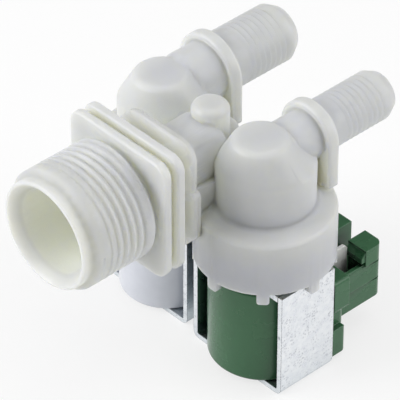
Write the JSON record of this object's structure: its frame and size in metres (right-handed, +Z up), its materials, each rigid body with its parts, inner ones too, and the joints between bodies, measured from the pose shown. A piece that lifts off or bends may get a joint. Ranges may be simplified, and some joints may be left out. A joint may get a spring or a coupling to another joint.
{
  "type": "water inlet solenoid valve",
  "caption": "Moulded water inlet valve with a threaded inlet, square panel plates, paired diaphragm chambers with hose tails, and solenoid coils in steel yokes.",
  "frame": {"origin": "centre of the inlet mouth, on the inlet's axis", "axes": "+Y along the inlet into the valve, +Z up from the yokes to the domes, +X towards the green coil"},
  "size_m": [0.0592, 0.0787, 0.0615],
  "materials": {
    "nylon_white": "milky semi-gloss moulding",
    "strainer_white": "matt moulding",
    "rubber_black": "matt rubber",
    "guide_plastic": "matt moulding",
    "coil_green": "glossy overmould",
    "coil_pale": "glossy overmould",
    "bobbin_plastic": "matt moulding",
    "copper_winding": "enamelled copper wire",
    "zinc_steel": "mottled zinc plating",
    "stainless_steel": "ground stainless steel",
    "tinned_blade": "tinned contact blade"
  },
  "bodies": {
    "housing": {"valve_body": "nylon_white", "inlet_strainer": "strainer_white", "flow_regulator": "rubber_black", "left_coil_jacket": "coil_pale", "left_diaphragm": "rubber_black", "left_guide_tube": "guide_plastic", "left_return_spring": "stainless_steel", "left_bobbin": "bobbin_plastic", "left_winding": "copper_winding", "left_yoke": "zinc_steel", "left_flux_plate": "zinc_steel", "left_lower_sleeve": "zinc_steel", "left_upper_sleeve": "zinc_steel", "left_terminal_1": "tinned_blade", "left_terminal_2": "tinned_blade", "right_coil_jacket": "coil_green", "right_diaphragm": "rubber_black", "right_guide_tube": "guide_plastic", "right_return_spring": "stainless_steel", "right_bobbin": "bobbin_plastic", "right_winding": "copper_winding", "right_yoke": "zinc_steel", "right_flux_plate": "zinc_steel", "right_lower_sleeve": "zinc_steel", "right_upper_sleeve": "zinc_steel", "right_terminal_1": "tinned_blade", "right_terminal_2": "tinned_blade"},
    "left_armature": {"left_plunger": "stainless_steel", "left_plunger_tip": "rubber_black"},
    "left_pilot": {"left_pilot_disc": "guide_plastic"},
    "right_armature": {"right_plunger": "stainless_steel", "right_plunger_tip": "rubber_black"},
    "right_pilot": {"right_pilot_disc": "guide_plastic"}
  },
  "joints": [
    {"name": "left_plunger_slide", "type": "slide", "parent": "housing", "child": "left_armature", "axis": [0, 0, 1], "range_m": [-0.0025, 0], "stiffness_N_per_m": 200, "springref_m": 0.003, "deforming": ["left_return_spring"]},
    {"name": "left_pilot_slide", "type": "slide", "parent": "housing", "child": "left_pilot", "axis": [0, 0, 1], "range_m": [-0.00175, 0], "deforming": ["left_diaphragm"]},
    {"name": "right_plunger_slide", "type": "slide", "parent": "housing", "child": "right_armature", "axis": [0, 0, 1], "range_m": [-0.0025, 0], "stiffness_N_per_m": 200, "springref_m": 0.003, "deforming": ["right_return_spring"]},
    {"name": "right_pilot_slide", "type": "slide", "parent": "housing", "child": "right_pilot", "axis": [0, 0, 1], "range_m": [-0.00175, 0], "deforming": ["right_diaphragm"]}
  ],
  "couplings": [
    {"joint": "left_pilot_slide", "follows": "left_plunger_slide", "ratio": 0.7},
    {"joint": "right_pilot_slide", "follows": "right_plunger_slide", "ratio": 0.7}
  ]
}
